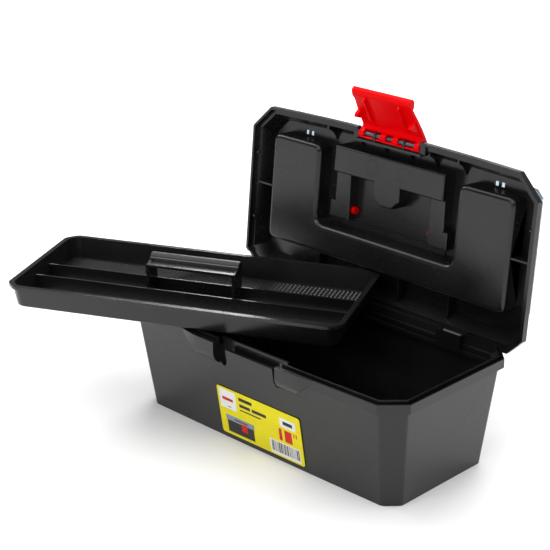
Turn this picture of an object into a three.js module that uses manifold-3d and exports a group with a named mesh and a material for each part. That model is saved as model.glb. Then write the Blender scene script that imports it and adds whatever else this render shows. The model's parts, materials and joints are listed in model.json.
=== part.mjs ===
// Organiser toolbox with a lift-out tray, standing open.
// Millimetres, +Z up, +X to the right, -Y towards the front.
// Origin: centre of the underside of the base. The lid, with everything on it, is modelled shut
// and then turned about its hinge; the latch is modelled hanging shut and then turned about its rod.

import * as THREE from "three";
import { mergeVertices } from "three/addons/utils/BufferGeometryUtils.js";
import Module from "manifold-3d";

const wasm = await Module();
wasm.setup();

// ---------------------------------------------------------------- driving dimensions

const BOX_LENGTH = 320;
const BOX_DEPTH = 157;
const RIM_HEIGHT = 97.8;
const BOX_CORNER = 18.8;
const FRONT_BOW = 3;
const WALL = 2.4;
const GAP = 0.3;
const ROUND_SEGMENTS = 28;

const FOOT_HALF_LENGTH = 146.3;
const FOOT_HALF_DEPTH = 62;
const FOOT_CORNER = 11.5;
const FOOT_BOW = 0.8;
const BAND_HEIGHT = 8;
const BAND_PROUD = 2.4;
const LIP_INSET = 4;
const LIP_THICKNESS = 1.4;
const LIP_TOP = 100;

const HINGE = { y: 75.5, z: 94.5 };
const HINGE_X = 95;
const HINGE_ARM_WIDTH = 21;
const HINGE_PIN_RADIUS = 1.4;
const LID_OPEN = THREE.MathUtils.degToRad(95.5);

const LID_RIM = RIM_HEIGHT + GAP;
const LID_HALF_LENGTH = 161.8;
const LID_FRONT = -77.2;
const LID_REAR = 78.25;
const LID_FRONT_CORNER = 21;
const LID_REAR_CORNER = 15;
const LID_LIP = 2.3;
const LID_LEDGE_Z = 4.4;
const LID_FLANGE_TOP = 6;
const DECK_TOP = 22;
const DECK_UNDER = 20;
const COVER_TOP = 38.6;

const RECESS_HALF = 36;
const ROD = { y: -74.5, z: LID_RIM + 5, radius: 2, halfLength: 38.5 };
const LATCH_OPEN = THREE.MathUtils.degToRad(55);

const HANDLE_PIVOT = { y: 1.5, z: LID_RIM + 17 };
const COVER_HINGE = { y: 67.5, z: LID_RIM + DECK_TOP + 1.5 };
const COVER_HINGE_X = [44, 109];

const TRAY_LENGTH = 307.5;
const TRAY_DEPTH = 137;
const TRAY_HEIGHT = 21;
const TRAY_CORNER = 9.5;
const TRAY_PLACE = { x: -110.6, y: -33.6, z: LIP_TOP + GAP, yaw: THREE.MathUtils.degToRad(25.9) };

// ---------------------------------------------------------------- materials

function plastic(color, roughness) {
  return new THREE.MeshStandardMaterial({ color, roughness, metalness: 0, flatShading: true });
}
const blackPlastic = () => plastic(0x1c1c1e, 0.5);
const redPlastic = () => plastic(0xd80a1e, 0.4);
const smokyPlastic = () => {
  const material = plastic(0x9fb4c4, 0.15);
  material.transparent = true;
  material.opacity = 0.35;
  return material;
};
const steel = () => {
  const material = plastic(0x56626c, 0.35);
  material.metalness = 1;
  return material;
};
const labelPaper = () => plastic(0xe8dc08, 0.55);

// ---------------------------------------------------------------- outlines

function octagon(halfLength, halfDepth, corner) {
  const x = halfLength - corner;
  const y = halfDepth - corner;
  return [
    [x, -halfDepth], [halfLength, -y], [halfLength, y], [x, halfDepth],
    [-x, halfDepth], [-halfLength, y], [-halfLength, -y], [-x, -halfDepth],
  ];
}

// An octagon whose eight sides all lie a distance inside those of the given one.
function insetOctagon(halfLength, halfDepth, corner, inset) {
  const cornerLoss = inset * (2 - Math.SQRT2);
  return octagon(halfLength - inset, halfDepth - inset, corner - cornerLoss);
}

// An outline with cut corners and a front edge that bows gently forwards, a distance inside `plan`.
function bowedOutline(plan, inset = 0) {
  const loss = inset * (2 - Math.SQRT2);
  const x = plan.halfLength - inset;
  const [front, rear] = [plan.front + inset, plan.rear - inset];
  const [cutFront, cutRear] = [plan.frontCorner - loss, plan.rearCorner - loss];
  const bowed = [];
  for (let step = -6; step <= 6; step += 1) {
    const t = step / 6;
    bowed.push([t * (x - cutFront), front - plan.bow * (1 - t * t)]);
  }
  return [
    ...bowed, [x, front + cutFront], [x, rear - cutRear], [x - cutRear, rear],
    [-x + cutRear, rear], [-x, rear - cutRear], [-x, front + cutFront],
  ];
}

function rectangle(x0, x1, y0, y1) {
  return [[x0, y0], [x1, y0], [x1, y1], [x0, y1]];
}

// Rounds every corner of an outline, either way it turns, with a short curve.
function rounded(points, radius, steps = 3) {
  const out = [];
  points.forEach((point, index) => {
    const corner = new THREE.Vector2(...point);
    const before = new THREE.Vector2(...points.at(index - 1)).sub(corner).normalize();
    const after = new THREE.Vector2(...points[(index + 1) % points.length]).sub(corner).normalize();
    const start = corner.clone().addScaledVector(before, radius);
    const end = corner.clone().addScaledVector(after, radius);
    const bend = new THREE.QuadraticBezierCurve(start, corner, end);
    bend.getPoints(steps).forEach((p) => out.push([p.x, p.y]));
  });
  return out;
}

const mirrored = (points) => points.map(([x, y]) => [-x, y]);

// ---------------------------------------------------------------- solids

function solid(geometry) {
  geometry.deleteAttribute("normal");
  geometry.deleteAttribute("uv");
  const welded = mergeVertices(geometry, 1e-3);
  return new wasm.Manifold(new wasm.Mesh({
    numProp: 3,
    vertProperties: new Float32Array(welded.attributes.position.array),
    triVerts: new Uint32Array(welded.index.array),
  }));
}

function extrusion(points, depth) {
  const shape = new THREE.Shape(points.map(([x, y]) => new THREE.Vector2(x, y)));
  return new THREE.ExtrudeGeometry(shape, { depth, bevelEnabled: false });
}

// A plan outline standing from one height to another.
function prism(points, z0, z1) {
  return solid(extrusion(points, z1 - z0).translate(0, 0, z0));
}

// As prism, with a different outline of the same number of points at the bottom.
function taperedPrism(bottom, top, z0, z1) {
  const geometry = extrusion(top, z1 - z0);
  const position = geometry.attributes.position;
  for (let i = 0; i < position.count; i += 1) {
    if (position.getZ(i) > 0) continue;
    const match = top.findIndex(([x, y]) => (
      Math.hypot(x - position.getX(i), y - position.getY(i)) < 1e-3));
    position.setXY(i, bottom[match][0], bottom[match][1]);
  }
  return solid(geometry.translate(0, 0, z0));
}

function block(x0, x1, y0, y1, z0, z1) {
  const geometry = new THREE.BoxGeometry(x1 - x0, y1 - y0, z1 - z0);
  return solid(geometry.translate((x0 + x1) / 2, (y0 + y1) / 2, (z0 + z1) / 2));
}

// A [y, z] outline running along X from x0 to x1.
function barX(points, x0, x1) {
  const toWorld = new THREE.Matrix4().makeBasis(
    new THREE.Vector3(0, 1, 0), new THREE.Vector3(0, 0, 1), new THREE.Vector3(1, 0, 0));
  return solid(extrusion(points, x1 - x0).applyMatrix4(toWorld).translate(x0, 0, 0));
}

// An [x, z] outline running along Y from y0 to y1.
function barY(points, y0, y1) {
  const toWorld = new THREE.Matrix4().makeBasis(
    new THREE.Vector3(1, 0, 0), new THREE.Vector3(0, 0, 1), new THREE.Vector3(0, -1, 0));
  return solid(extrusion(points, y1 - y0).applyMatrix4(toWorld).translate(0, y1, 0));
}

function rodX(radius, x0, x1, y, z) {
  const geometry = new THREE.CylinderGeometry(radius, radius, x1 - x0, ROUND_SEGMENTS);
  return solid(geometry.rotateZ(Math.PI / 2).translate((x0 + x1) / 2, y, z));
}

const joined = (...parts) => parts.reduce((a, b) => a.add(b));
const both = (make) => make(1).add(make(-1));

// A block given on the right side, or its mirror image on the left.
function sideBlock(side, x0, x1, y0, y1, z0, z1) {
  return side > 0 ? block(x0, x1, y0, y1, z0, z1) : block(-x1, -x0, y0, y1, z0, z1);
}

function sideRod(side, radius, x0, x1, y, z) {
  return side > 0 ? rodX(radius, x0, x1, y, z) : rodX(radius, -x1, -x0, y, z);
}

function ring(outer, inner, z0, z1) {
  return prism(outer, z0, z1).subtract(prism(inner, z0 - 1, z1 + 1));
}

function mesh(name, body, material) {
  const { vertProperties, triVerts } = body.getMesh();
  const geometry = new THREE.BufferGeometry();
  geometry.setAttribute("position", new THREE.BufferAttribute(vertProperties, 3));
  geometry.setIndex(new THREE.BufferAttribute(triVerts, 1));
  geometry.computeVertexNormals();
  const part = new THREE.Mesh(geometry, material);
  part.name = name;
  return part;
}

// ---------------------------------------------------------------- base

const BAND_HALF_DEPTH = BOX_DEPTH / 2;
const RIM_PLAN = {
  halfLength: BOX_LENGTH / 2, front: -BAND_HALF_DEPTH, rear: BAND_HALF_DEPTH,
  frontCorner: BOX_CORNER, rearCorner: BOX_CORNER, bow: FRONT_BOW,
};
const WALL_PLAN = {
  halfLength: BOX_LENGTH / 2 - BAND_PROUD, front: BAND_PROUD - BAND_HALF_DEPTH,
  rear: BAND_HALF_DEPTH - BAND_PROUD, frontCorner: 16, rearCorner: 18.5, bow: FRONT_BOW,
};
const FOOT_PLAN = {
  halfLength: FOOT_HALF_LENGTH, front: -FOOT_HALF_DEPTH, rear: FOOT_HALF_DEPTH,
  frontCorner: FOOT_CORNER, rearCorner: FOOT_CORNER, bow: FOOT_BOW,
};
const rimOutline = (inset = 0) => bowedOutline(RIM_PLAN, inset);
const BAND_BOTTOM = RIM_HEIGHT - BAND_HEIGHT;
const LIP_INNER = LIP_INSET + LIP_THICKNESS;
const SETBACK_LIP_Y = -70.4;
const RECESS_TOP = 92;
const LOBE_FRONT = -83.8;
const LEDGES = [{ top: 91.5, inset: 8.6 }, { top: 87, inset: 11.8 }];
const LEDGE_THICKNESS = 3;

// The rounded bulges under the band on both sides of the latch recess.
function recessLobes() {
  const edge = new THREE.CubicBezierCurve(
    new THREE.Vector2(RECESS_HALF, 77), new THREE.Vector2(59, 75),
    new THREE.Vector2(60, 86), new THREE.Vector2(80, RIM_HEIGHT - 0.6));
  const curve = edge.getPoints(14).map((p) => [p.x, p.y]);
  const front = [[RECESS_HALF, RIM_HEIGHT], ...curve, [80, RIM_HEIGHT]];
  const section = barX([
    [LOBE_FRONT, RIM_HEIGHT], [LOBE_FRONT, 88], [LOBE_FRONT + 0.5, 85], [LOBE_FRONT + 1.8, 82],
    [LOBE_FRONT + 4, 79.4], [LOBE_FRONT + 7.4, 77], [-70, 75], [-70, RIM_HEIGHT],
  ], -110, 110);
  const fade = [
    [30, -69], [30, LOBE_FRONT], [54, LOBE_FRONT], [61, LOBE_FRONT + 0.4], [68, LOBE_FRONT + 1.4],
    [75, LOBE_FRONT + 2.8], [82, LOBE_FRONT + 4.4], [82, -69],
  ];
  return both((side) => {
    const [face, plan] = side > 0 ? [front, fade] : [mirrored(front), mirrored(fade)];
    return barY(face, -90, -69).intersect(prism(plan, 70, RIM_HEIGHT));
  }).intersect(section);
}

// A pointed slot in the wall at the recess's side, for the latch's hook, in [x, z].
function hookSlotOutline() {
  const [inner, outer, top] = [27.5, RECESS_HALF, LIP_TOP + 5];
  return [[inner, top], [inner, 79], [30, 75.5], [33, 75.5], [outer, 79], [outer, top]];
}

function baseBin() {
  const wallTop = bowedOutline(WALL_PLAN);
  const mouth = rimOutline(LIP_INNER);
  const foot = bowedOutline(FOOT_PLAN);
  const footInner = bowedOutline(FOOT_PLAN, WALL);
  const recess = block(-RECESS_HALF, RECESS_HALF, -95, SETBACK_LIP_Y, BAND_BOTTOM - 0.1, LIP_TOP + 5);

  const band = prism(rimOutline(), BAND_BOTTOM, RIM_HEIGHT)
    .add(prism(rimOutline(LIP_INSET), BAND_BOTTOM, LIP_TOP))
    .subtract(recess);
  const walls = taperedPrism(foot, wallTop, 0, RIM_HEIGHT)
    .subtract(block(-RECESS_HALF, RECESS_HALF, -95, SETBACK_LIP_Y, RECESS_TOP, LIP_TOP + 5));
  const hollow = taperedPrism(footInner, mouth, WALL, RIM_HEIGHT)
    .add(prism(mouth, RIM_HEIGHT - 0.01, LIP_TOP + 5));

  // Everything that stands inside the tub is trimmed to its outer form and added after the hollow.
  const fittings = joined(...LEDGES.map(({ top, inset }) => (
    ring(rimOutline(3.2), rimOutline(inset), top - LEDGE_THICKNESS, top))));
  const latchWall = block(
    -RECESS_HALF - 2.2, RECESS_HALF + 2.2, -82, SETBACK_LIP_Y + 2.2, 66, LIP_TOP - 1.5)
    .subtract(block(-RECESS_HALF - 3, RECESS_HALF + 3, -95, SETBACK_LIP_Y, RECESS_TOP, LIP_TOP))
    .subtract(block(-27.5, 27.5, -75.4, SETBACK_LIP_Y, 84, LIP_TOP));
  const hingeBlocks = both((side) => sideBlock(side, 82, 108, 66.5, 77, 84, LIP_TOP - 0.8));
  const outerForm = taperedPrism(foot, wallTop, 0, RIM_HEIGHT)
    .add(prism(rimOutline(LIP_INSET), BAND_BOTTOM, LIP_TOP));
  const inside = joined(fittings, hingeBlocks).intersect(outerForm)
    .subtract(block(-RECESS_HALF, RECESS_HALF, -95, SETBACK_LIP_Y, 80, LIP_TOP + 5))
    .add(latchWall.intersect(outerForm));

  const groove = ring(rimOutline(1.6), rimOutline(LIP_INSET), 92, LIP_TOP + 5)
    .subtract(block(-114, 114, 60, 90, 80, 110));
  const flatRear = block(-82, 82, 71, 90, RIM_HEIGHT, LIP_TOP + 5);
  const rearPockets = both((side) => sideBlock(side, 84, 106, 68.5, 90, 90, LIP_TOP + 5));
  const pinHoles = both((side) => (
    sideRod(side, HINGE_PIN_RADIUS + GAP, 79.6, 110.4, HINGE.y, HINGE.z)));

  const hookSlots = both((side) => (
    barY(side > 0 ? hookSlotOutline() : mirrored(hookSlotOutline()), -95, SETBACK_LIP_Y)));

  let body = walls.add(band).subtract(hollow).subtract(groove).subtract(flatRear);
  body = body.add(inside).add(recessLobes().subtract(hollow).subtract(groove));
  return body.subtract(hookSlots).subtract(rearPockets).subtract(pinHoles);
}

// ---------------------------------------------------------------- lid, shut

const WELL_LEG = [79, 138];
const WELL_Y = [-53.5, 47];
const WELL_BAR_FRONT = 20;
const WELL_UNDER = 3;
const GRIP_POCKET = { half: 62.5, y: [-57, -33], under: 4.5 };
const ARM_POCKET = { x: [45.5, 62], footX: 67.5, footY: [-6, 10], under: 9.5 };
const SKIN = 2;

function wellOutline(inset) {
  const [leg, side] = [WELL_LEG[0] + inset, WELL_LEG[1] - inset];
  const [front, rear] = [WELL_Y[0] + inset, WELL_Y[1] - inset];
  const bar = WELL_BAR_FRONT + inset;
  const points = [
    [-side, front], [-leg, front], [-leg, bar], [leg, bar], [leg, front], [side, front],
    [side, rear], [-side, rear],
  ];
  return rounded(points, 8 - inset / 2);
}

// The finger recess behind the handle's grip, with its two far corners cut off.
function stemOutline(inset) {
  const [x, y0, y1] = [15 - inset, GRIP_POCKET.y[1] - 4, -13 - inset];
  const cut = 8 - inset * 0.6;
  return [[-x, y0], [x, y0], [x, y1 - cut], [x - cut, y1], [-x + cut, y1], [-x, y1 - cut]];
}

// The pocket that the carry handle folds into; inset 0 is its outside, inset SKIN its inside.
function handlePocket(inset, top) {
  const { half, y, under } = GRIP_POCKET;
  const grip = block(
    -half + inset, half - inset, y[0] + inset, y[1] - inset, LID_RIM + under + inset, top);
  const stem = prism(stemOutline(inset), LID_RIM + under + inset, top);
  const arms = both((side) => {
    const floor = LID_RIM + ARM_POCKET.under + inset;
    const [x0, x1] = [ARM_POCKET.x[0] + inset, ARM_POCKET.x[1] - inset];
    const arm = sideBlock(side, x0, x1, y[1] - 6, ARM_POCKET.footY[0] + 2, floor, top);
    const foot = sideBlock(
      side, x0, ARM_POCKET.footX - inset,
      ARM_POCKET.footY[0] + inset, ARM_POCKET.footY[1] - inset, floor, top);
    return arm.add(foot);
  });
  return joined(grip, stem, arms);
}

const LID_PLAN = {
  halfLength: LID_HALF_LENGTH, front: LID_FRONT, rear: LID_REAR,
  frontCorner: LID_FRONT_CORNER, rearCorner: LID_REAR_CORNER, bow: FRONT_BOW,
};
const lidOutline = (inset) => bowedOutline(LID_PLAN, inset);

// A thin rib in the angle between the front wall and the deck, its free edge a hollow curve.
function frontGusset(x) {
  const edge = new THREE.QuadraticBezierCurve(
    new THREE.Vector2(-69, LID_RIM + 6), new THREE.Vector2(-66, LID_RIM + 16),
    new THREE.Vector2(-57.5, LID_RIM + DECK_UNDER));
  const curve = edge.getPoints(6).map((p) => [p.x, p.y]);
  const top = LID_RIM + DECK_UNDER + 1;
  return barX([[-76, LID_RIM + 6], ...curve, [-57.5, top], [-76, top]], x - 1, x + 1);
}

function stiffeningRibs() {
  const ledgeTicks = both((side) => joined(...[-31, 31].map((y) => (
    sideBlock(side, 155, 160, y - 0.8, y + 0.8, LID_RIM + 2.4, LID_RIM + 5)))));
  const sideRibs = both((side) => (
    sideBlock(side, 137, 156.5, -3.3, -1.7, LID_RIM + 5, LID_RIM + DECK_UNDER + 1)));
  const gussets = both((side) => joined(...[15, 42.5, 74].map((x) => frontGusset(side * x))));
  const rearRibs = both((side) => joined(...[20, 76].map((x) => (
    sideBlock(side, x - 0.8, x + 0.8, 46, 72, LID_RIM + 9, LID_RIM + DECK_UNDER + 1)))));
  const middlePanel = block(-60, 60, 11.5, 21, LID_RIM + DECK_UNDER - 1.2, LID_RIM + DECK_UNDER + 1);
  return joined(ledgeTicks, sideRibs, gussets, rearRibs, middlePanel);
}

function lidShell() {
  const flangeTop = LID_RIM + LID_FLANGE_TOP;
  const ledge = LID_RIM + LID_LEDGE_Z;
  const deckTop = LID_RIM + DECK_TOP;
  const deckUnder = LID_RIM + DECK_UNDER;

  const outside = prism(lidOutline(0), LID_RIM, flangeTop)
    .add(taperedPrism(lidOutline(4.6), lidOutline(12.2), flangeTop - 0.01, deckTop));
  const hollow = prism(lidOutline(LID_LIP), LID_RIM - 1, ledge)
    .add(taperedPrism(lidOutline(6.5), lidOutline(14), ledge - 0.01, deckUnder));
  const rearRelief = block(-170, 170, 66, 95, LID_RIM - 1, LID_RIM + 1.5);

  const wells = prism(wellOutline(0), LID_RIM + WELL_UNDER, deckTop);
  const inside = joined(wells, handlePocket(0, deckTop), stiffeningRibs()).intersect(outside);
  let body = outside.subtract(hollow).subtract(rearRelief).add(inside);
  body = body.subtract(prism(wellOutline(SKIN), LID_RIM + WELL_UNDER + SKIN, deckTop + 1));
  body = body.subtract(handlePocket(SKIN, deckTop + 1));
  body = body.subtract(both((side) => (
    sideRod(side, 3.8, 41.8, 49, HANDLE_PIVOT.y, HANDLE_PIVOT.z))));

  // Catch holes for the organiser covers, in pairs near the front.
  body = body.subtract(both((side) => joined(...[105.2, 111.6].map((x) => (
    sideBlock(side, x - 2.1, x + 2.1, -59.3, -54.9, deckUnder - 2, deckTop + 1))))));

  return coverEars(latchNotch(hingeArms(body)));
}

// Arms at the rear that reach down into the base's pockets.
function hingeArms(body) {
  const half = HINGE_ARM_WIDTH / 2;
  const arms = both((side) => joined(
    sideRod(side, 4, HINGE_X - half, HINGE_X + half, HINGE.y, HINGE.z),
    sideBlock(side, HINGE_X - half, HINGE_X + half, HINGE.y - 3.5, LID_REAR, HINGE.z, LID_RIM + 6)));
  const holes = both((side) => (
    sideRod(side, HINGE_PIN_RADIUS + GAP, HINGE_X - 20, HINGE_X + 20, HINGE.y, HINGE.z)));
  return body.add(arms).subtract(holes);
}

// The notch in the front rim, with two webs and two cheeks that carry the latch rod.
function latchNotch(body) {
  const cut = block(-35, 35, -95, -69.5, LID_RIM - 5, LID_RIM + 13.5);
  const back = block(-37, 37, -69.5, -67.4, LID_RIM + 1, LID_RIM + 17);
  const cheeks = both((side) => (
    sideBlock(side, 35, 40.5, -78.5, -69.5, LID_RIM + 2.5, LID_RIM + 9)));
  const webs = both((side) => sideBlock(side, 15.6, 17.4, -76.9, -69, LID_RIM + 2.4, LID_RIM + 11.5));
  const hole = rodX(ROD.radius + GAP, -ROD.halfLength - GAP, ROD.halfLength + GAP, ROD.y, ROD.z);
  return body.subtract(cut).add(joined(back, cheeks, webs)).subtract(hole);
}

// Ears behind the deck that the covers' knuckles turn in, each pair over a shallow pocket.
function coverEars(body) {
  const { y, z } = COVER_HINGE;
  const pans = both((side) => joined(...COVER_HINGE_X.map((x) => (
    sideBlock(side, x - 8.8, x + 8.8, 63, 70.5, LID_RIM + 18.5, LID_RIM + DECK_UNDER + 1)))));
  const slots = both((side) => joined(...COVER_HINGE_X.map((x) => (
    sideBlock(side, x - 5.9, x + 5.9, 64.4, y + 3.4, LID_RIM + 20.4, z + 5)))));
  const ears = both((side) => joined(...COVER_HINGE_X.flatMap((x) => [-1, 1].map((end) => {
    const [x0, x1] = [x + end * 7.5 - 1.3, x + end * 7.5 + 1.3];
    return sideRod(side, 3, x0, x1, y, z).add(sideBlock(side, x0, x1, 64.6, y + 3, LID_RIM + 18, z));
  }))));
  const holes = both((side) => joined(...COVER_HINGE_X.map((x) => (
    sideRod(side, 1.5, x - 11, x + 11, y, z)))));
  return body.add(pans).subtract(slots).add(ears).subtract(holes);
}

// ---------------------------------------------------------------- parts on the lid

function organiserCover(side) {
  const bottom = LID_RIM + DECK_TOP + GAP;
  const top = LID_RIM + COVER_TOP;
  const outline = (outer, inner) => {
    const points = [
      [77.5 + inner, -62 + outer], [137 - outer * 0.4, -62 + outer], [147 - outer, -52 + outer * 0.4],
      [147 - outer, 54 - outer * 0.4], [137 - outer * 0.4, 64 - outer], [0.4 + inner, 64 - outer],
      [0.4 + inner, 17 + inner], [77.5 + inner, 17 + inner],
    ];
    return side > 0 ? points : mirrored(points);
  };
  const skin = 1.8;
  const shell = taperedPrism(outline(0, 0), outline(6, 1), bottom, top)
    .subtract(taperedPrism(outline(skin, skin), outline(7, 3), bottom - 0.01, top - skin));
  const thumbTab = sideBlock(side, 98, 118, -66, -61, bottom, bottom + 2);
  const { y, z } = COVER_HINGE;
  const knuckles = joined(...COVER_HINGE_X.map((x) => joined(
    sideRod(side, 2.6, x - 5.5, x + 5.5, y, z),
    sideRod(side, 1.2, x - 9.2, x + 9.2, y, z),
    sideBlock(side, x - 5.5, x + 5.5, 62.8, y, bottom + 0.2, z + 2.6))));
  return joined(shell, thumbTab, knuckles);
}

function carryHandle() {
  const low = LID_RIM + 7.4;
  const high = LID_RIM + DECK_TOP - 0.1;
  const grip = barX(rounded([[-53.5, low], [-37, low], [-37, high], [-53.5, high]], 5), -59.3, 59.3);
  const arms = both((side) => joined(
    sideBlock(side, 48.2, 59.3, -42, HANDLE_PIVOT.y, HANDLE_PIVOT.z - 4.9, HANDLE_PIVOT.z + 4.9),
    sideRod(side, 4.9, 48.2, 64.5, HANDLE_PIVOT.y, HANDLE_PIVOT.z),
    sideRod(side, 3.4, 42.2, 50, HANDLE_PIVOT.y, HANDLE_PIVOT.z)));
  return grip.add(arms);
}

// The latch hangs from the rod; its outline is in [x, distance below the rod].
function latchPlateOutline() {
  const flank = new THREE.CubicBezierCurve(
    new THREE.Vector2(33, -39), new THREE.Vector2(30.5, -34),
    new THREE.Vector2(34, -28), new THREE.Vector2(34.4, -10));
  const right = [...flank.getPoints(8).map((p) => [p.x, p.y]), [34.4, -2], [34, 2.5]];
  const left = right.map(([x, w]) => [-x, w]).reverse();
  return [...right, ...left].map(([x, w]) => [x, ROD.z + w]);
}

function frontLatch() {
  const at = (points) => points.map(([y, w]) => [ROD.y + y, ROD.z + w]);
  const plate = barY(latchPlateOutline(), ROD.y - 8.6, ROD.y - 6);
  const roll = rounded([[-9, -36], [-12.6, -41], [-11.6, -45], [-7.6, -44], [-6, -40], [-6, -36]], 1.2);
  const thumbRoll = barX(at(roll), -33, 33);
  const strip = barX(at([[-8.6, -6], [-6, -6], [-2.8, -3.4], [-2.8, 3], [-5, 4.4], [-8.6, 2.5]]), -34, 34);
  const tail = new THREE.EllipseCurve(0, 0, 4.5, 4.5, Math.PI * 0.86, Math.PI * 0.06, true);
  const tailOutline = [...tail.getPoints(9).map((p) => [p.x, p.y]), [3, 0.6], [0, 2.6], [-3, 1]];
  const wrapped = barX(at(tailOutline), -34, 34);
  const spans = [[-34, -28.8], [-9.8, -4], [4, 9.8], [28.8, 34]];
  const fingers = joined(...spans.map(([x0, x1]) => (
    rodX(3.7, x0, x1, ROD.y, ROD.z).add(barX(at([[-6, -3.7], [0, -3.7], [0, 3.7], [-6, 3]]), x0, x1)))));
  const ribOutline = at([[-6.2, -38], [-3.2, -37], [-3.2, -19], [-5.2, -8], [-6.2, -6]]);
  const ribs = both((side) => barX(ribOutline, side * 19.5 - 0.8, side * 19.5 + 0.8));
  const hookOutline = at([[-6.2, -12], [1.2, -19.5], [1.8, -21.5], [-0.6, -23], [-6.2, -23.5]]);
  const hooks = both((side) => barX(hookOutline, side * 30.4 - 1.8, side * 30.4 + 1.8));
  const aroundWebs = both((side) => (
    sideBlock(side, 14.8, 18.2, ROD.y - 10, ROD.y + 6, ROD.z - 3.6, ROD.z + 8)));
  return joined(plate, thumbRoll, strip, wrapped, fingers, ribs, hooks)
    .subtract(aroundWebs)
    .subtract(rodX(ROD.radius + GAP, -45, 45, ROD.y, ROD.z));
}

// ---------------------------------------------------------------- tray

const DIVIDER_Y = [-17, 11];
const DIVIDER_TOP = 13;
const TRAY_HANDLE = { centre: -1.5, half: 41.5, front: -9, back: 12, top: 38.5 };

function liftOutTray() {
  const half = [TRAY_LENGTH / 2, TRAY_DEPTH / 2, TRAY_CORNER];
  const skin = 1.9;
  const flange = prism(octagon(...half), TRAY_HEIGHT - 2.8, TRAY_HEIGHT);
  const body = taperedPrism(
    insetOctagon(...half, 6.2), insetOctagon(...half, 2.6), 0, TRAY_HEIGHT - 1);
  const hollow = taperedPrism(
    insetOctagon(...half, 6.2 + skin), insetOctagon(...half, 2.6 + skin), 2, TRAY_HEIGHT)
    .add(prism(insetOctagon(...half, 2.6 + skin), TRAY_HEIGHT - 0.01, TRAY_HEIGHT + 1));

  const reach = TRAY_LENGTH / 2 - 6.5;
  const dividers = joined(...DIVIDER_Y.map((y) => (
    barX([[y - 1.2, 1], [y + 1.2, 1], [y + 0.8, DIVIDER_TOP], [y - 0.8, DIVIDER_TOP]], -reach, reach))));
  return flange.add(body).subtract(hollow).add(dividers)
    .subtract(block(-37, 34, -7.5, 9.5, -1, 3))
    .add(trayHandle());
}

// An arch over the middle channel: two upright legs and a gutter-shaped grip with a front lip.
function trayHandle() {
  const { centre, half, front, back, top } = TRAY_HANDLE;
  const middle = (back + 1) / 2;
  const dome = new THREE.EllipseCurve(middle, top - 6, (back - 1) / 2, 6, 0, Math.PI).getPoints(8);
  const outer = [[front, top - 6.6], [1, top - 6], ...dome.map((p) => [p.x, p.y]).reverse().slice(1)];
  const under = [
    [back - 2, top - 6], [middle, top - 2.6], [3, top - 6.4], [2.4, top - 8.6], [front, top - 8.8],
  ];
  const grip = barX([...outer, ...under], -half, half);
  const legs = both((side) => {
    const outline = [[front, 1], [back - 1.2, 1], [back - 1.2, top - 5], [4, top - 4], [front, top - 7.6]];
    return side > 0 ? barX(outline, half - 2.6, half) : barX(outline, -half, -half + 2.6);
  });
  return grip.add(legs).translate([centre, 0, 0]);
}

// ---------------------------------------------------------------- small pieces

function hingePin(side) {
  return sideRod(side, HINGE_PIN_RADIUS, 80, 110, HINGE.y, HINGE.z);
}

function frontLabel() {
  const outline = rounded(rectangle(-45, 53, -24, 24), 3, 4);
  return solid(extrusion(outline, 0.4));
}

// ---------------------------------------------------------------- assembly

const toolbox = new THREE.Group();

const base = new THREE.Group();
base.add(mesh("base_bin", baseBin(), blackPlastic()));
base.add(mesh("hinge_pin_left", hingePin(-1), steel()));
base.add(mesh("hinge_pin_right", hingePin(1), steel()));

// The label lies flat on the sloping front wall.
const WALL_RUN = BAND_HALF_DEPTH - BAND_PROUD + FRONT_BOW - FOOT_HALF_DEPTH - FOOT_BOW;
const wallLean = Math.atan2(WALL_RUN, RIM_HEIGHT);
const LABEL_Z = 29;
const label = mesh("front_label", frontLabel(), labelPaper());
const wallY = -FOOT_HALF_DEPTH - FOOT_BOW - WALL_RUN * (LABEL_Z / RIM_HEIGHT);
label.position.set(0, wallY - GAP / Math.cos(wallLean), LABEL_Z);
label.rotation.x = Math.PI / 2 + wallLean;
base.add(label);

const lid = new THREE.Group();
lid.position.set(0, HINGE.y, HINGE.z);
lid.rotation.x = -LID_OPEN;
const shutLid = new THREE.Group();
shutLid.position.set(0, -HINGE.y, -HINGE.z);
lid.add(shutLid);
shutLid.add(mesh("lid_shell", lidShell(), blackPlastic()));
shutLid.add(mesh("latch_pin", rodX(ROD.radius, -ROD.halfLength, ROD.halfLength, ROD.y, ROD.z), steel()));
shutLid.add(mesh("carry_handle", carryHandle(), redPlastic()));
shutLid.add(mesh("organiser_cover_left", organiserCover(-1), smokyPlastic()));
shutLid.add(mesh("organiser_cover_right", organiserCover(1), smokyPlastic()));

const latch = new THREE.Group();
latch.position.set(0, ROD.y, ROD.z);
latch.rotation.x = -LATCH_OPEN;
const latchPiece = mesh("front_latch", frontLatch(), redPlastic());
latchPiece.position.set(0, -ROD.y, -ROD.z);
latch.add(latchPiece);
shutLid.add(latch);

const tray = mesh("lift_out_tray", liftOutTray(), blackPlastic());
tray.position.set(TRAY_PLACE.x, TRAY_PLACE.y, TRAY_PLACE.z);
tray.rotation.z = TRAY_PLACE.yaw;

toolbox.add(base, lid, tray);

export default toolbox;
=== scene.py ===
"""Looks of the organiser toolbox: soft edges, mould detail, printed label, materials and light."""

import json
import math
import random

import bmesh
import bpy
from mathutils import Matrix, Vector


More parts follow.
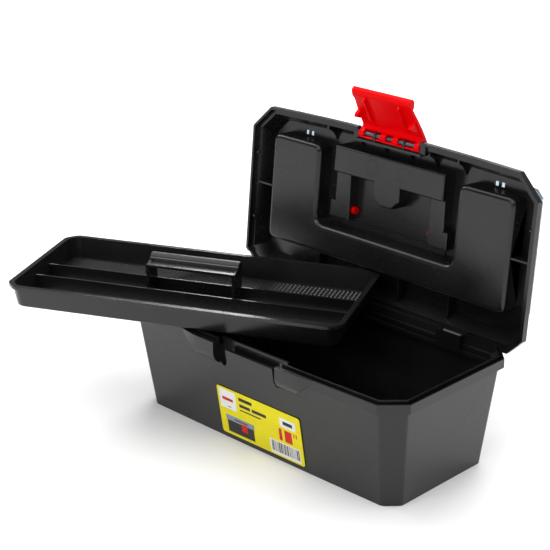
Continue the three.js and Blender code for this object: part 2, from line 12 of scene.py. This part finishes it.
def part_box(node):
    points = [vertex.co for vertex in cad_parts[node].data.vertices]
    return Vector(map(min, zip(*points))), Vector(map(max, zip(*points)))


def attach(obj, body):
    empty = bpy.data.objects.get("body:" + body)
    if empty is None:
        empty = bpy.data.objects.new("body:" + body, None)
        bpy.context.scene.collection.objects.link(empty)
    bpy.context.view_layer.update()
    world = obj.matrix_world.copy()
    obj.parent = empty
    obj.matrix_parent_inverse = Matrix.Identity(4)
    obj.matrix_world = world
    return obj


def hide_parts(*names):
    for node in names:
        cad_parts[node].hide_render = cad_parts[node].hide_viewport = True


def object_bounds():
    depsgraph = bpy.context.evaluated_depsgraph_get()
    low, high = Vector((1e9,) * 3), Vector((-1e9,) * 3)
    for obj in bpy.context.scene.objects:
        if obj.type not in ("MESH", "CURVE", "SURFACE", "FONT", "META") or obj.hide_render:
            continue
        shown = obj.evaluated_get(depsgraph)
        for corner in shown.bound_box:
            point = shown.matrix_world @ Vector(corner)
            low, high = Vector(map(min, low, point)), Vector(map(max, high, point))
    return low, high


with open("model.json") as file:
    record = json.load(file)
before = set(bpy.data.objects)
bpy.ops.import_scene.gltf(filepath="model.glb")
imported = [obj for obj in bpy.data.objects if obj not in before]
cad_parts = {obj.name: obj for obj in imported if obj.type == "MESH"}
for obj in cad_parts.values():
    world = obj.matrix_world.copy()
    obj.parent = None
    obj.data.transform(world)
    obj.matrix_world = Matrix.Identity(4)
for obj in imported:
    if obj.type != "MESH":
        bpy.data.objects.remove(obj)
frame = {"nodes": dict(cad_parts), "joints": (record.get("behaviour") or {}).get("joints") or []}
cad_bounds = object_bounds()

MM = 0.001
SHARP_DEG = 24  # edges that turn by more than this are rounded
SUNK = 0.1  # how far added detail starts inside the surface it stands on
LABEL_THICK = 0.4
JOINTS = {joint["name"]: joint for joint in frame["joints"]}

# ------------------------------------------------------------------ frames of the moving parts

# Each matrix takes millimetres in the frame a part is drawn in to metres in the shared frame.
LID_RIM = 98.1
ROD_Y, ROD_Z = -74.5, LID_RIM + 5
TRAY_YAW = math.radians(25.9)
WALL_FOOT_Y, WALL_RUN, WALL_HEIGHT = -62.8, 16.3, 97.8
WALL_LEAN = math.atan2(WALL_RUN, WALL_HEIGHT)
LABEL_Z, LABEL_GAP = 29, 0.3


def about(point, axis, angle):
    """A turn by this angle about an axis through this point."""
    there = Matrix.Translation(point)
    return there @ Matrix.Rotation(angle, 4, axis) @ there.inverted()


def opening_of(joint):
    """Turns a part from where its joint shuts it to where it stands at rest."""
    shut_turn = math.radians(joint["range_deg"][0])
    return about(Vector(joint["pos_m"]), Vector(joint["axis"]), -shut_turn)


ROW = Matrix.Scale(MM, 4)
SHUT_LID = opening_of(JOINTS["lid_hinge"]) @ ROW
rod_shut = Matrix.Translation((0, ROD_Y, ROD_Z))
LATCH_ANGLE = -math.radians(JOINTS["latch_hinge"]["range_deg"][0])
HANGING_LATCH = SHUT_LID @ rod_shut @ Matrix.Rotation(-LATCH_ANGLE, 4, "X") @ rod_shut.inverted()
tray_low, tray_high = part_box("lift_out_tray")
tray_centre = (tray_low + tray_high) / 2
TRAY = (Matrix.Translation((tray_centre.x, tray_centre.y, tray_low.z))
        @ Matrix.Rotation(TRAY_YAW, 4, "Z") @ ROW)
label_y = WALL_FOOT_Y - WALL_RUN * LABEL_Z / WALL_HEIGHT - LABEL_GAP / math.cos(WALL_LEAN)
LABEL = (ROW @ Matrix.Translation((0, label_y, LABEL_Z))
         @ Matrix.Rotation(math.pi / 2 + WALL_LEAN, 4, "X"))


# ------------------------------------------------------------------ materials

class Shader:
    """A material around one Principled BSDF, with short ways to add and join nodes."""

    def __init__(self, name):
        self.material = bpy.data.materials.new(name)
        self.material.use_nodes = True
        self.tree = self.material.node_tree
        self.surface = self.tree.nodes["Principled BSDF"]
        self.place = self.node("ShaderNodeTexCoord").outputs["Object"]

    def node(self, kind, settings=None, **inputs):
        made = self.tree.nodes.new(kind)
        for key, value in (settings or {}).items():
            setattr(made, key, value)
        for key, value in inputs.items():
            self.feed(made.inputs[key.replace("_", " ")], value)
        return made

    def feed(self, socket, value):
        if isinstance(value, bpy.types.NodeSocket):
            self.tree.links.new(value, socket)
        else:
            socket.default_value = value

    def set(self, **inputs):
        for key, value in inputs.items():
            self.feed(self.surface.inputs[key.replace("_", " ")], value)

    def math(self, operation, *values):
        made = self.node("ShaderNodeMath", {"operation": operation})
        for socket, value in zip(made.inputs, values):
            self.feed(socket, value)
        return made.outputs[0]

    def noise(self, scale, detail=3.0, roughness=0.5, stretch=(1, 1, 1)):
        place = self.node("ShaderNodeMapping", Vector=self.place, Scale=stretch).outputs["Vector"]
        made = self.node(
            "ShaderNodeTexNoise", Vector=place, Scale=scale, Detail=detail, Roughness=roughness)
        return made.outputs["Fac"]

    def remap(self, value, low, high, start=0.3, end=0.7):
        made = self.node("ShaderNodeMapRange", Value=value)
        limits = {"From Min": start, "From Max": end, "To Min": low, "To Max": high}
        for key, number in limits.items():
            made.inputs[key].default_value = number
        return made.outputs["Result"]

    def blend(self, factor, first, second):
        made = self.tree.nodes.new("ShaderNodeMix")
        made.data_type = "RGBA"
        self.feed(made.inputs[0], factor)
        self.feed(made.inputs[6], first)
        self.feed(made.inputs[7], second)
        return made.outputs[2]

    def bump(self, *layers):
        """Stacks (height, depth in metres) layers into the surface's normal."""
        normal = None
        for height, depth in layers:
            made = self.node("ShaderNodeBump", Height=height, Distance=depth, Strength=1.0)
            if normal is not None:
                self.feed(made.inputs["Normal"], normal)
            normal = made.outputs["Normal"]
        self.set(Normal=normal)


def grey(value):
    return (value, value, value, 1)


def moulded_plastic(name, dark, light, roughness, grain=0.00003):
    """Injection-moulded plastic: faint flow clouds, spark-eroded grain and hairline scuffs."""
    shader = Shader(name)
    clouds = shader.noise(14, detail=4)
    grains = shader.noise(1900, detail=2, roughness=0.6)
    hairs = shader.noise(70, detail=6, roughness=0.75, stretch=(1, 9, 9))
    scuff_roughness, patchiness, waviness = 0.06, 0.04, 0.0003
    scuff = shader.remap(hairs, 0, scuff_roughness, start=0.6, end=0.66)
    shader.set(Base_Color=shader.blend(shader.remap(clouds, 0, 1), dark, light))
    base = shader.remap(clouds, roughness - patchiness, roughness + patchiness)
    shader.set(Roughness=shader.math("ADD", base, scuff), Specular_IOR_Level=0.5)
    shader.bump((grains, grain), (clouds, waviness))
    return shader


def clear_smoky_plastic():
    shader = Shader("smoky_clear_plastic")
    flow = shader.noise(20, detail=3, stretch=(1, 3, 1))
    deep, pale = (0.42, 0.50, 0.56, 1), (0.50, 0.58, 0.64, 1)
    shader.set(
        Base_Color=shader.blend(shader.remap(flow, 0, 1), deep, pale),
        Roughness=shader.remap(flow, 0.06, 0.12), Transmission_Weight=0.92, IOR=1.49)
    shader.bump((flow, 0.0003))
    return shader


def drawn_steel():
    shader = Shader("drawn_steel")
    lines = shader.noise(900, detail=2, stretch=(0.03, 1, 1))
    stain = shader.noise(160, detail=4)
    dull, bright = (0.10, 0.13, 0.16, 1), (0.20, 0.24, 0.28, 1)
    shader.set(
        Base_Color=shader.blend(shader.remap(stain, 0, 1), dull, bright),
        Metallic=1.0, Roughness=shader.remap(lines, 0.26, 0.44))
    shader.bump((lines, 0.00003))
    return shader


def printed_paper(name, color, darker):
    """Coated label paper, or ink on it, with faint fibres."""
    shader = Shader(name)
    fibres = shader.noise(700, detail=5, roughness=0.7)
    mottle = shader.noise(60, detail=2)
    shader.set(
        Base_Color=shader.blend(shader.remap(mottle, 0, 1), color, darker),
        Roughness=shader.remap(fibres, 0.38, 0.5), Specular_IOR_Level=0.25)
    shader.bump((fibres, 0.00002))
    return shader


BLACK = moulded_plastic("black_plastic", grey(0.006), (0.0095, 0.0095, 0.010, 1), 0.24)
RED = moulded_plastic(
    "red_plastic", (0.80, 0.0, 0.001, 1), (0.88, 0.0, 0.003, 1), 0.26, grain=0.00001)
RED.set(Specular_IOR_Level=0.08)
SMOKY = clear_smoky_plastic()
STEEL = drawn_steel()
YELLOW = printed_paper("label_yellow", (0.80, 0.70, 0.0, 1), (0.74, 0.64, 0.0, 1))
WHITE_INK = printed_paper("label_white", grey(0.80), grey(0.75))
DARK_INK = printed_paper("label_dark", grey(0.02), grey(0.03))
RED_INK = printed_paper("label_red", (0.60, 0.01, 0.01, 1), (0.54, 0.01, 0.01, 1))
GREY_INK = printed_paper("label_grey", (0.25, 0.30, 0.36, 1), (0.20, 0.25, 0.30, 1))


# ------------------------------------------------------------------ mesh tools

def mesh_from_node(node, to_row):
    """The node's solid in its part's own millimetres, with its flat faces joined up."""
    same_place, same_plane = 0.002, math.radians(0.4)
    bm = bmesh.new()
    bm.from_mesh(frame["nodes"][node].data)
    bm.transform(to_row.inverted())
    bmesh.ops.remove_doubles(bm, verts=bm.verts, dist=same_place)
    bmesh.ops.dissolve_limit(bm, angle_limit=same_plane, verts=bm.verts, edges=bm.edges)
    bmesh.ops.dissolve_degenerate(bm, dist=same_place, edges=bm.edges)
    return bm


def soften(bm, radius, segments, test):
    """Rounds the corner edges whose two ends pass the test."""
    edges = [
        e for e in bm.edges
        if len(e.link_faces) == 2 and e.calc_face_angle(0) > math.radians(SHARP_DEG)
        and test(e.verts[0].co, e.verts[1].co)]
    if edges:
        bmesh.ops.bevel(
            bm, geom=edges, offset=radius, segments=segments, profile=0.5, affect="EDGES",
            clamp_overlap=True, offset_type="OFFSET", loop_slide=True)


def level(height, tolerance=0.05):
    """A test for edges that lie flat at this height."""
    return lambda a, b: abs(a.z - height) < tolerance and abs(b.z - height) < tolerance


def piece(name, bm, to_row, shader, body, replaced=()):
    """A visible object from a mesh in its part's millimetres, riding on its body."""
    bm.transform(to_row)
    bmesh.ops.recalc_face_normals(bm, faces=bm.faces)
    mesh = bpy.data.meshes.new(name)
    bm.to_mesh(mesh)
    bm.free()
    made = bpy.data.objects.new(name, mesh)
    bpy.context.scene.collection.objects.link(made)
    made.data.materials.append(shader.material)
    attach(made, body)
    if replaced:
        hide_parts(*replaced)
    return made


def shade(mesh, angle=42):
    """Blends each corner's normal with the faces it curves into, the large faces counting most."""
    limit = math.cos(math.radians(angle))
    faces = [(face.normal.copy(), face.area) for face in mesh.polygons]
    around = [[] for _ in mesh.vertices]
    for face in mesh.polygons:
        face.use_smooth = True
        for vertex in face.vertices:
            around[vertex].append(face.index)
    normals = [None] * len(mesh.loops)
    for face in mesh.polygons:
        own = faces[face.index][0]
        for loop in face.loop_indices:
            total = Vector()
            for other in around[mesh.loops[loop].vertex_index]:
                normal, area = faces[other]
                if normal.dot(own) > limit:
                    total += normal * area * area
            normals[loop] = total.normalized() if total.length > 0 else own
    mesh.normals_split_custom_set(normals)


def round_edges(made, radius):
    """Rounds what is still sharp with a small radius and shades the result."""
    bevel = made.modifiers.new("edges", "BEVEL")
    bevel.width = radius * MM
    bevel.segments = 2
    bevel.limit_method = "ANGLE"
    bevel.angle_limit = math.radians(SHARP_DEG)
    bevel.use_clamp_overlap = True
    bevel.miter_outer = "MITER_ARC"
    bpy.context.view_layer.update()
    graph = bpy.context.evaluated_depsgraph_get()
    final = bpy.data.meshes.new_from_object(made.evaluated_get(graph), depsgraph=graph)
    made.modifiers.clear()
    made.data = final
    shade(final)
    return made


def refined(node, name, to_row, shader, body, radius, rounds=()):
    """The CAD node with its own larger roundings, then a small radius on every other edge."""
    bm = mesh_from_node(node, to_row)
    for size, segments, test in rounds:
        soften(bm, size, segments, test)
    return round_edges(piece(name, bm, to_row, shader, body, replaced=(node,)), radius)


def add_box(bm, low_plan, high_plan, z0, z1):
    """A closed form with four sides, from one plan at z0 to another at z1."""
    low = [bm.verts.new((x, y, z0)) for x, y in low_plan]
    high = [bm.verts.new((x, y, z1)) for x, y in high_plan]
    bm.faces.new(low[::-1])
    bm.faces.new(high)
    for i in range(4):
        bm.faces.new((low[i], low[(i + 1) % 4], high[(i + 1) % 4], high[i]))


def add_block(bm, x0, x1, y0, y1, z0, z1):
    """An upright box between these limits."""
    plan = ((x0, y0), (x1, y0), (x1, y1), (x0, y1))
    add_box(bm, plan, plan, z0, z1)


def add_stud(bm, x, y, z0, foot, z1, top):
    """A small square stud, narrower at its top, standing from z0 to z1."""
    corners = ((-1, -1), (1, -1), (1, 1), (-1, 1))
    low, high = [
        [(x + sx * half, y + sy * half) for sx, sy in corners] for half in (foot, top)]
    add_box(bm, low, high, z0, z1)


def add_ring(bm, x, y, z, radius, section):
    """A thin raised ring lying level at height z."""
    steps, sides = 40, 6
    rings = []
    for i in range(steps):
        turn = 2 * math.pi * i / steps
        rings.append([
            bm.verts.new((
                x + (radius + section * math.cos(a)) * math.cos(turn),
                y + (radius + section * math.cos(a)) * math.sin(turn), z + section * math.sin(a)))
            for a in (2 * math.pi * k / sides for k in range(sides))])
    for i in range(steps):
        here, there = rings[i], rings[(i + 1) % steps]
        for k in range(sides):
            bm.faces.new((here[k], there[k], there[(k + 1) % sides], here[(k + 1) % sides]))


# ------------------------------------------------------------------ the object

def upright(a, b):
    """The tub's tall corner edges, which start at its foot."""
    return abs(a.z - b.z) > 60 and min(a.z, b.z) < 1


def lobe_edge(a, b):
    """Edges round the two bulges beside the latch recess."""
    return all(37 < abs(p.x) < 82 and 76.5 < p.z < 97 and p.y < -76 for p in (a, b))


def tray_corner(a, b):
    """The steep edges at the tray's four outer corners."""
    return abs(a.z - b.z) > 2 and min(abs(a.x), abs(b.x)) > 135 and min(abs(a.y), abs(b.y)) > 50


WELL_FACE, GRIP_FACE, ARM_FACE = LID_RIM + 3, LID_RIM + 4.5, LID_RIM + 9.5
TRAY_FLOOR, TRAY_RIM = 2, 21

refined("base_bin", "tub", ROW, BLACK, "base", 0.55, [
    (8.0, 7, upright),
    (1.8, 4, lobe_edge),
    (1.6, 3, level(0)),
])
refined("lid_shell", "lid", SHUT_LID, BLACK, "lid", 0.55, [
    (4.2, 5, level(WELL_FACE)),
    (1.6, 3, level(GRIP_FACE)),
    (1.2, 2, level(ARM_FACE)),
])
refined("lift_out_tray", "tray", TRAY, BLACK, "tray", 0.6, [
    (5.0, 5, tray_corner),
    (2.6, 4, level(0)),
    (1.6, 3, level(TRAY_FLOOR)),
    (1.2, 3, level(TRAY_RIM)),
])
refined("front_latch", "latch", HANGING_LATCH, RED, "latch", 0.45)
refined("carry_handle", "handle", SHUT_LID, RED, "handle", 0.6)
for cover in ("cover_left", "cover_right"):
    refined(f"organiser_{cover}", cover, SHUT_LID, SMOKY, cover, 0.5)
kept_nodes = {
    "latch_pin": STEEL, "hinge_pin_left": STEEL, "hinge_pin_right": STEEL, "front_label": YELLOW}
for node, shader in kept_nodes.items():
    materials = frame["nodes"][node].data.materials
    materials.clear()
    materials.append(shader.material)


def ejector_rings():
    """Round marks of the mould's ejector pins, under the handle pocket and the organiser wells."""
    bm = bmesh.new()
    for side in (-1, 1):
        add_ring(bm, 18.4 * side, -46, GRIP_FACE, 7, 0.16)
    for side in (-1, 1):
        add_ring(bm, 108 * side, 20, WELL_FACE, 6, 0.12)
    shade(piece("lid_ejector_rings", bm, SHUT_LID, BLACK, "lid").data)


def floor_studs():
    """The field of small raised studs on the tray's rear compartment floor."""
    bm = bmesh.new()
    pitch, foot, top, height = 3.8, 0.95, 0.55, 0.8
    first_row, rows, columns = 17, 11, 73
    for row in range(rows):
        for column in range(columns):
            x = (column - columns // 2) * pitch
            y = first_row + row * pitch
            add_stud(bm, x, y, TRAY_FLOOR - SUNK, foot, TRAY_FLOOR + height, top)
    shade(piece("tray_floor_studs", bm, TRAY, BLACK, "tray").data, 20)


def label_print():
    """Generic print: a white panel, text bars, a small picture of the box, a tag and a bar code."""
    under, over = 0.02, 0.04
    inks = {name: bmesh.new() for name in ("white", "grey", "dark", "red")}

    def plate(ink, x0, x1, y0, y1, height):
        add_block(inks[ink], x0, x1, y0, y1, LABEL_THICK - SUNK, LABEL_THICK + height)

    # The white panel at the upper left, with text bars beside it.
    plate("white", -42.5, -23, 3, 22, under)
    plate("red", -39.5, -26.5, 11.2, 14.2, over)
    plate("dark", -34, -30, 5, 5.8, over)
    for x0, x1, y0, y1 in (
            (-19, -3, 16.2, 19.6), (-19, -6, 9.8, 13), (-4, 13, 9.8, 13), (-19, 6, 6, 7.4)):
        plate("dark", x0, x1, y0, y1, under)

    # The small picture of the box.
    plate("grey", -38, -4, -9, -3.5, under)
    plate("dark", -37, -5, -21, -9, under)
    plate("red", -20, -13, -16, -8, over)
    plate("dark", -28, -12, -7, -5.8, over)

    # The tag and the red blocks under it.
    plate("white", 29, 47, 8.5, 17.5, under)
    plate("dark", 32.5, 43.5, 11.2, 14.8, over)
    for x0, x1, y0 in ((26.5, 30, -6), (33, 41.5, -6), (43.5, 44.8, 2), (46.2, 47.5, 2)):
        plate("red", x0, x1, y0, 6, under)

    # The bar code on its white field.
    plate("white", 14, 49, -22.5, -8.5, under)
    chance = random.Random(7)
    x, last = 16.0, 47
    while x < last:
        width = chance.choice((0.4, 0.4, 0.8, 1.2))
        plate("dark", x, x + width, -20, -9.5, over)
        x += width + chance.choice((0.4, 0.6, 0.9))

    shaders = {"white": WHITE_INK, "grey": GREY_INK, "dark": DARK_INK, "red": RED_INK}
    for ink, shader in shaders.items():
        shade(piece(f"label_{ink}", inks[ink], LABEL, shader, "base").data)


ejector_rings()
floor_studs()
label_print()


# ------------------------------------------------------------------ stage, light and camera

CAMERA_AZIMUTH = math.radians(44.33)
CAMERA_ELEVATION = math.radians(21.62)
CAMERA_ROLL = math.radians(0.15)
CAMERA_DISTANCE = 1.4723
CAMERA_AIM = Vector((-0.08363, 0.03994, 0.11053))
LENS, SENSOR = 106.28, 36
FLOOR_SIZE = 12
SKY_STRENGTH = 0.14
LIGHTS_AIM = Vector((0, 0, 0.1))


def stage():
    bpy.ops.mesh.primitive_plane_add(size=FLOOR_SIZE, location=(0, 0, cad_bounds[0][2]))
    floor = bpy.context.object
    floor.name = "floor"
    shader = Shader("pale_floor")
    speck = shader.noise(30, detail=3)
    shader.set(
        Base_Color=shader.blend(shader.remap(speck, 0, 1), grey(0.94), grey(0.96)), Roughness=0.8)
    floor.data.materials.append(shader.material)
    world = bpy.data.worlds.new("studio")
    world.use_nodes = True
    sky = world.node_tree.nodes["Background"].inputs
    sky["Color"].default_value = grey(1)
    sky["Strength"].default_value = SKY_STRENGTH
    bpy.context.scene.world = world
    bpy.context.scene.view_settings.view_transform = "Standard"


def softbox(name, place, size, watts):
    data = bpy.data.lights.new(name, "AREA")
    data.shape = "RECTANGLE"
    data.size, data.size_y = size
    data.energy = watts
    lamp = bpy.data.objects.new(name, data)
    lamp.location = place
    lamp.rotation_euler = (LIGHTS_AIM - Vector(place)).to_track_quat("-Z", "Y").to_euler()
    bpy.context.scene.collection.objects.link(lamp)


def camera():
    towards = Vector((
        math.sin(CAMERA_AZIMUTH) * math.cos(CAMERA_ELEVATION),
        -math.cos(CAMERA_AZIMUTH) * math.cos(CAMERA_ELEVATION),
        math.sin(CAMERA_ELEVATION)))
    data = bpy.data.cameras.new("camera")
    data.lens = LENS
    data.sensor_width = SENSOR
    made = bpy.data.objects.new("camera", data)
    made.location = CAMERA_AIM + towards * CAMERA_DISTANCE
    aimed = (-towards).to_track_quat("-Z", "Y").to_matrix().to_4x4()
    made.rotation_euler = (aimed @ Matrix.Rotation(-CAMERA_ROLL, 4, "Z")).to_euler()
    bpy.context.scene.collection.objects.link(made)
    bpy.context.scene.camera = made


stage()
softbox("overhead", (0, 0.3, 3.2), (7, 7), 255)
softbox("key", (-1.8, -0.4, 1.4), (0.8, 0.8), 10)
softbox("rear", (-0.9, 1.7, 1.2), (1.6, 0.25), 26)
softbox("front", (0.1, -1.9, 1.1), (1.5, 0.4), 13)
camera()
